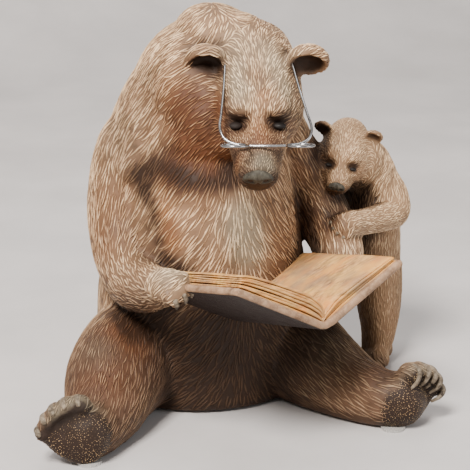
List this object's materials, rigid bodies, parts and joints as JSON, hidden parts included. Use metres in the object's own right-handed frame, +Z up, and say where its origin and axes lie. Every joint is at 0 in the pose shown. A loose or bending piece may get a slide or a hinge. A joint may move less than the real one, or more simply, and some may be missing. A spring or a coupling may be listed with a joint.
{
  "type": "resin bear figurine",
  "caption": "Seated resin bear in bent-wire spectacles reading an open book, with a cub standing beside it and leaning on its arm.",
  "frame": {"origin": "on the floor, below the middle of the whole figure's width and depth", "axes": "+Z up; the bear faces -Y; +X is towards the bear's own left side, where the cub stands"},
  "size_m": [0.2394, 0.1942, 0.2167],
  "materials": {
    "resin": "cast resin painted dark bronze brown, with tan and copper dry-brushed over the carved fur, satin",
    "wire": "bright drawn steel wire",
    "silicone": "clear, slightly milky bumper pad"
  },
  "bodies": {
    "root": {"bear_casting": "resin", "spectacles": "wire", "heel_pad_right": "silicone", "heel_pad_left": "silicone", "seat_pad_right": "silicone", "seat_pad_left": "silicone"}
  },
  "joints": []
}
